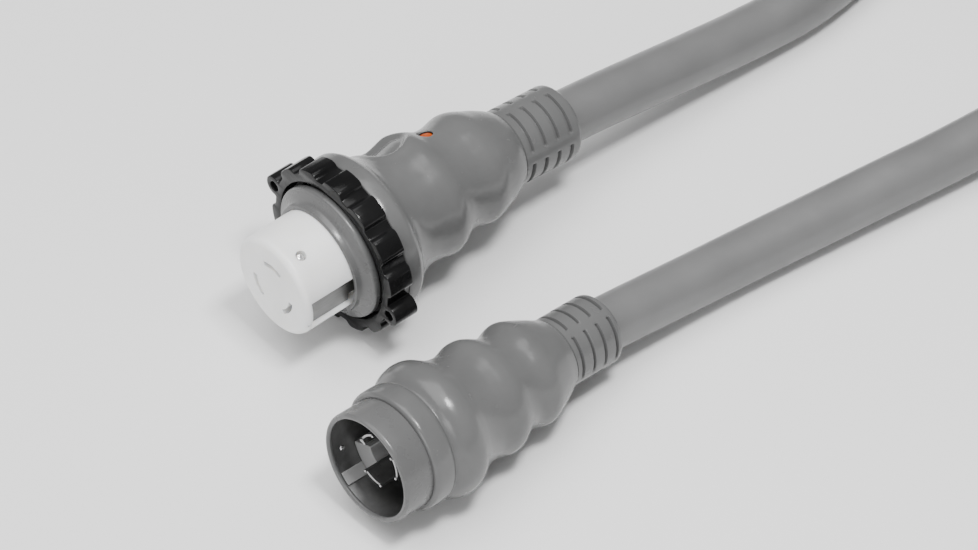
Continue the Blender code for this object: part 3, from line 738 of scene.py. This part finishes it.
def build_connector_body():
    neck = [(36.3, 27.8), (36.3, 33.3), (36.7, 33.7), (48.8, 33.7), (49.2, 34.1)]
    inside = [(143.6, 14.3), (121.4, 14.3), (118.0, 19.0), (62.0, 27.4), (36.5, 27.4)]
    body = grip(
        "connector_grip", CONNECTOR_GRIP, (neck, inside), CONNECTOR_PLACE, CONNECTOR_DROOP, CONNECTOR_DIMPLES
    )
    combine(body, radial_rod("led_hole", 4.2, LAMP_X, LAMP_ANGLE, 16.0, 34.0, CONNECTOR_PLACE))
    piece(body, "grey_moulding", "connector_body")


def build_lamp():
    """A domed amber lens in a near-black collar that lines the wall of its hole, as painted shade there."""
    dome = [(-1.6, 0.05), (-1.6, 3.7), (-0.4, 3.7), (0.0, 3.3), (0.35, 2.2), (0.5, 0.05)]
    lens = revolve("lamp_lens", dome, Matrix.Identity(4), closed=False, sides=SMALL_SIDES)
    lens.matrix_world = facing(CONNECTOR_PLACE, LAMP_ANGLE, LAMP_LIFT, LAMP_X)
    piece(lens, "amber_lens", "led_lens")
    # A near-black collar lines the hole's wall: painted shade in the hole.
    rim = [(-4.0, 3.75), (0.2, 3.75), (0.4, 3.85), (0.4, 4.0), (0.1, 4.15), (-4.0, 4.15)]
    shade_lining = revolve("painted_shade_collar", rim, Matrix.Identity(4), sides=SMALL_SIDES)
    shade_lining.matrix_world = lens.matrix_world
    piece(shade_lining, "grey_moulding", material="painted_shade_collar")


def relief_sleeve(name, node, x_span, radius, slots, place, bend):
    """A strain relief with rows of cross slots that have rounded ends.

    The slots are given by the first one's x, their pitch, width and span, and the angle of a row.
    """
    start, end = x_span
    first, pitch, width, span, slot_angle = slots
    fronts = [first + pitch * i for i in range(RELIEF_SLOTS)]
    low, high = start + 0.4, end - 3.6
    stations = {low + (high - low) * i / 24 for i in range(25)}
    for x in fronts:
        back = x + width
        stations |= {x - 0.35, x - 0.1, x + 0.2, x + width / 2, back - 0.2, back + 0.1, back + 0.35}
    rows = [(start, radius - 0.5)] + [(x, radius) for x in sorted(stations)]
    rows += [(end - 2.6, radius - 0.25), (end - 1.9, radius - 0.9), (end - 1.5, radius - 1.8)]
    rows += [(end - 1.2, radius - 2.6), (end - 0.5, radius - 3.0), (end, radius - 3.6)]
    rows += [(end, CABLE_RADIUS + 0.4), (start, CABLE_RADIUS + 0.4)]

    def cut(x, front):
        back = front + width
        return smoothstep(front - 0.3, front + 0.2, x) * (1 - smoothstep(back - 0.2, back + 0.3, x))

    def shape(x, angle, r):
        if r < radius or x not in stations:
            return r
        rows_at = [slot_angle + 360.0 / RELIEF_ROWS * row for row in range(RELIEF_ROWS)]
        across = min(angle_gap(angle, row_at) for row_at in rows_at)
        ends = 1 - smoothstep(span / 2 - 2.5, span / 2 + 1.0, across)
        return r - RELIEF_SLOT_DEPTH * ends * max(cut(x, front) for front in fronts)

    piece(revolve(name, rows, place, bend, 180, shape), "grey_moulding", node)


# Plug


def build_plug_front():
    place = PLUG_PLACE
    # The sleeve's front edge rolls inwards over the edge of the metal shell.
    sleeve = [
        (3.9, 28.1), (3.9, 26.7), (3.4, 26.1), (2.6, 25.9), (2.0, 26.1), (1.6, 26.7), (1.5, 27.4),
        (1.6, 28.0), (1.9, 28.3), (2.2, 28.35), (2.4, 28.55), (2.8, 28.8), (3.4, 28.9), (12.0, 28.85),
        (SLEEVE_END, 28.7), (SLEEVE_END, 28.1),
    ]
    piece(revolve("sleeve", sleeve, place, sides=FINE_SIDES), "grey_hard", "plug_sleeve")
    shell = [
        (4.0, 27.25), (4.2, SHELL_BORE), (SLEEVE_END, SHELL_BORE), (SLEEVE_END, 28.0), (4.2, 28.0),
        (4.0, 27.95),
    ]
    # The shell takes a dimmer copy of the plated steel, painted shade inside the mouth.
    turned = revolve("shell", shell, place, sides=FINE_SIDES)
    piece(turned, "plated_steel", "plug_shell", material="shell_steel_shaded")
    dome = [(-0.8, 0.05), (-0.8, 1.5), (-0.1, 1.5), (0.3, 1.2), (0.6, 0.6), (0.7, 0.05)]
    rivet = revolve("shell_rivet", dome, Matrix.Identity(4), closed=False, sides=28)
    rivet.matrix_world = facing(place, RIVET_ANGLE, SHELL_BORE, RIVET_X, way=-1.0)
    piece(rivet, "plated_steel")
    base = [
        (MOUTH_FLOOR, 0.05), (MOUTH_FLOOR, 26.5), (MOUTH_FLOOR + 0.3, 26.9), (SLEEVE_END, 26.9),
        (SLEEVE_END, 0.05),
    ]
    block = revolve("blade_base", base, place, closed=False, sides=120)
    slots = [arc_solid("slot", (20.0, 36.0), (12.3, 14.5), angle, 53.0, place) for _, angle, _ in BLADES]
    piece(combine(block, *slots), "dark_base", "plug_base")


def build_blades():
    """Three curved blades with rolled edges, the last with a foot at one corner."""
    place = PLUG_PLACE
    for pole, angle, tip in BLADES:
        name = f"blade_{pole}"
        blade = arc_solid(name + "_fine", (tip + 0.8, 42.0), (12.8, 14.0), angle, BLADE_SPAN, place, steps=18)
        if pole == "n":
            foot = arc_solid("foot", (tip, 17.0), (10.4, 13.4), angle + 21.0, 8.0, place, steps=4)
            combine(blade, foot, operation="UNION")
        piece(soften(blade, 0.4, 3), "contact_brass", name, material="blade_steel")
        for side, offset in (("low", -BLADE_SPAN / 2), ("high", BLADE_SPAN / 2)):
            start, end = around(angle + offset, 13.4, tip), around(angle + offset, 13.4, 40.0)
            edge = rod(f"{name}_edge_{side}", 0.8, start, end, place, 20)
            piece(soften(edge, 0.4, 3), "contact_brass", material="blade_steel")


def build_land():
    """The block between the centre and the shell, and the strip that runs from it to the rim, in a lighter
    copy of the hard grey: painted light that brightens the shaded mouth.
    """
    x_span = (LAND_FRONT, MOUTH_FLOOR - 0.2)
    land = arc_solid("land", x_span, (15.4, 26.9), LAND_ANGLE, LAND_SPAN, PLUG_PLACE, steps=20)
    # The land and the key strip take a lighter copy of the hard grey, painted light in the shaded mouth.
    piece(soften(land, 0.55, 3), "grey_hard", "base_land", material="grey_hard_painted_light")
    x_span = (4.1, LAND_FRONT - 0.2)
    key = arc_solid("key_strip", x_span, (26.0, 27.0), KEY_ANGLE, KEY_SPAN, PLUG_PLACE, steps=8)
    piece(soften(key, 0.25), "grey_hard", "shell_key", material="grey_hard_painted_light")


def build_plug_body():
    inside = [
        (122.6, 14.3), (105.0, 14.3), (99.0, 18.6), (56.0, 22.4), (50.0, 27.2), (34.4, 27.2), (34.4, 29.2),
        (19.3, 29.2), (18.9, 28.95), (18.65, 28.95),
    ]
    body = grip("plug_grip", PLUG_GRIP, ([], inside), PLUG_PLACE, PLUG_DROOP)
    piece(body, "grey_moulding", "plug_body")


# Cable, its coil and the straps on it


def coil_section():
    """The radius and height of the cable's centre all along the coil, a step apart.

    Each turn starts in its own place, and then turns that lie too close are pushed apart, bit by bit.
    """
    turns = np.arange(int(COIL_TURNS * TURN_STEPS) + 1) / TURN_STEPS
    k = np.minimum(turns.astype(int), len(COIL_PLACES) - 2)
    blend = np.clip((turns - k - CROSSING_START) / CROSSING_LENGTH, 0.0, 1.0)
    blend = (blend * blend * (3 - 2 * blend))[:, None]
    places = np.array(COIL_PLACES, float)
    at = np.array((COIL_FIRST, COIL_LOW)) + COIL_PITCH * (places[k] * (1 - blend) + places[k + 1] * blend)
    ends = np.array(((COIL_END_RADIUS, COIL_LOW), (COIL_END_RADIUS, COIL_LOW + COIL_PITCH)))
    for number in range(SETTLE_ROUNDS):
        for apart in range(1, int(COIL_TURNS) + 1):
            far = TURN_STEPS * apart
            gap = at[far:] - at[:-far]
            length = np.linalg.norm(gap, axis=1)
            overlap = np.clip(COIL_PITCH - length, 0.0, None)
            push = gap / np.maximum(length, 1e-6)[:, None] * (overlap / 4)[:, None]
            at[far:] += push
            at[:-far] -= push
        if number < SETTLE_ROUNDS - LAST_ROUNDS:
            # The cable's stiffness evens out its bends, and its weight lets it down.
            at[1:-1] += CABLE_STIFFNESS * ((at[2:] + at[:-2]) / 2 - at[1:-1])
            at[:, 1] -= CABLE_SINKING
        at[:, 0] = np.clip(at[:, 0], COIL_FIRST - 5.0, COIL_FIRST + 2 * COIL_PITCH + 4.0)
        at[:, 1] = np.clip(at[:, 1], COIL_LOW, COIL_TOP)
        at[[0, -1]] = ends
    return at


def build_cable():
    section = coil_section()
    angles = np.radians(COIL_START) - 2 * math.pi * np.arange(len(section)) / TURN_STEPS
    # Every third step is enough for the line. The two runs end where the coil starts and ends.
    coil = [
        (COIL_CENTRE[0] + r * math.cos(a), COIL_CENTRE[1] + r * math.sin(a), z)
        for (r, z), a in list(zip(section, angles))[3:-1:3]
    ]
    line = catmull([*CONNECTOR_RUN, *coil, *reversed(PLUG_RUN)], 4)
    start = CONNECTOR_PLACE @ (drooped(Vector((CONNECTOR_CABLE_START, 0.0, 0.0)), CONNECTOR_DROOP) * MM)
    end = PLUG_PLACE @ (drooped(Vector((PLUG_CABLE_START, 0.0, 0.0)), PLUG_DROOP) * MM)
    line = [start, *[p * MM for p in line], end]
    curve = bpy.data.curves.new("cable", "CURVE")
    curve.dimensions = "3D"
    curve.bevel_depth = CABLE_RADIUS * MM
    curve.bevel_resolution = 7
    curve.use_fill_caps = True
    spline = curve.splines.new("POLY")
    spline.points.add(len(line) - 1)
    for point, place in zip(spline.points, line):
        point.co = (*place, 1.0)
    spline.use_smooth = True
    cable = add_object("cable", curve)
    piece(cable, "cable_jacket", "cable_connector_run", "cable_coil", "cable_plug_run")
    straps = [build_strap(i + 1, angle, section) for i, angle in enumerate(STRAP_ANGLES)]


def hull(points):
    """The outline of flat points, as a band pulled tight round them would lie."""

    def bends_in(a, b, c):
        return (b[0] - a[0]) * (c[1] - a[1]) <= (b[1] - a[1]) * (c[0] - a[0])

    def half(row):
        chain = []
        for point in row:
            while len(chain) > 1 and bends_in(chain[-2], chain[-1], point):
                chain.pop()
            chain.append(point)
        return chain[:-1]

    ordered = sorted(points)
    return half(ordered) + half(ordered[::-1])


def build_strap(number, angle, section):
    """A webbing band pulled tight round the turns, bent along them, with thinner edges."""
    reach = CABLE_RADIUS + STRAP_GAP + STRAP_THICKNESS / 2
    first = round((COIL_START - angle) % 360.0 / 360.0 * TURN_STEPS)
    crossed = [section[i] for i in range(first, len(section), TURN_STEPS)]
    path = hull([
        (r + reach * math.cos(t), z + reach * math.sin(t))
        for r, z in crossed for t in (2 * math.pi * i / 32 for i in range(32))
    ])
    path = [Vector((r, max(z, STRAP_THICKNESS / 2 + 0.2), 0.0)) for r, z in path]
    bm = bmesh.new()
    count = len(path)
    across = [STRAP_WIDTH * (i / 6 - 0.5) for i in range(7)]
    rings = []
    for i, point in enumerate(path):
        along = (path[(i + 1) % count] - path[i - 1]).normalized()
        out = Vector((along.y, -along.x, 0.0))
        loop = []
        for lift, sides in ((-0.5, across), (0.5, across[::-1])):
            for side in sides:
                thinned = STRAP_EDGE if abs(side) > 0.49 * STRAP_WIDTH else 1.0
                p = point + out * lift * STRAP_THICKNESS * thinned
                turn = side / point.x
                loop.append(bm.verts.new((p.x * math.cos(turn), p.x * math.sin(turn), p.y)))
        rings.append(loop)
    corners = len(rings[0])
    for i in range(count):
        near, far = rings[i], rings[(i + 1) % count]
        for k in range(corners):
            bm.faces.new((near[k], near[(k + 1) % corners], far[(k + 1) % corners], far[k]))
    middle = Matrix.Translation(Vector((*COIL_CENTRE, 0.0)) * MM)
    strap = finish_solid(f"strap_{number}", bm, middle @ Matrix.Rotation(math.radians(angle), 4, "Z"))
    return piece(strap, "strap", f"coil_strap_{number}")


def dress_nodes():
    """Gives what stays as the CAD has it its material."""
    slots = {row["node"]: row["material_slot"] for row in frame["record"]["subparts"]}
    for name, node in NODES.items():
        node.data.materials.clear()
        node.data.materials.append(MATERIALS[slots[name]])


# Stage


def area_light(name, direction, distance, size, energy):
    light = bpy.data.lights.new(name, "AREA")
    light.shape = "RECTANGLE"
    light.size, light.size_y = size
    light.energy = energy
    obj = add_object(name, light)
    target = Vector(LIGHT_TARGET)
    obj.location = target + Vector(direction).normalized() * distance
    obj.rotation_euler = (target - obj.location).to_track_quat("-Z", "Y").to_euler()


def build_stage():
    bpy.ops.mesh.primitive_plane_add(size=24.0, location=(0.0, 0.0, -0.0002))
    floor = bpy.context.object
    floor.name = "floor"
    n = Nodes("floor_paper")
    n.set(Base_Color=n.mix(n.noise(3.0), (0.82, 0.82, 0.82), (0.86, 0.86, 0.86)), Roughness=0.9)
    n.set(Normal=n.bump(n.noise(900.0), 0.00002))
    floor.data.materials.append(n.material)
    world = bpy.data.worlds.new("studio")
    bpy.context.scene.world = world
    world.use_nodes = True
    background = world.node_tree.nodes["Background"]
    background.inputs["Color"].default_value = (1.0, 1.0, 1.0, 1.0)
    background.inputs["Strength"].default_value = WORLD_STRENGTH
    for name, setting in LIGHTS.items():
        area_light(name, *setting)


def build_camera():
    camera = add_object("camera", bpy.data.cameras.new("camera"))
    camera.data.lens = CAMERA_LENS
    camera.data.clip_end = 30.0
    azimuth, elevation = math.radians(CAMERA_AZIMUTH), math.radians(CAMERA_ELEVATION)
    level = math.cos(elevation)
    back = Vector((math.sin(azimuth) * level, -math.cos(azimuth) * level, math.sin(elevation)))
    camera.location = Vector(CAMERA_TARGET) * MM + back * CAMERA_DISTANCE
    camera.rotation_euler = back.to_track_quat("Z", "Y").to_euler()
    bpy.context.scene.camera = camera


def build():
    build_stage()
    build_camera()
    build_cable()
    build_carrier()
    build_side_screw()
    build_ground_strip()
    build_flange()
    build_ring()
    build_connector_body()
    build_lamp()
    relief_sleeve(
        "connector_relief", "connector_strain_relief", (143.9, 182.0), 20.2, (147.5, 8.3, 2.0, 72.0, 62.0),
        CONNECTOR_PLACE, CONNECTOR_DROOP,
    )
    build_plug_front()
    build_blades()
    build_land()
    build_plug_body()
    relief_sleeve(
        "plug_relief", "plug_strain_relief", (122.9, 155.0), 18.5, (126.0, 7.5, 1.3, 76.0, 24.0),
        PLUG_PLACE, PLUG_DROOP,
    )
    dress_nodes()


build()
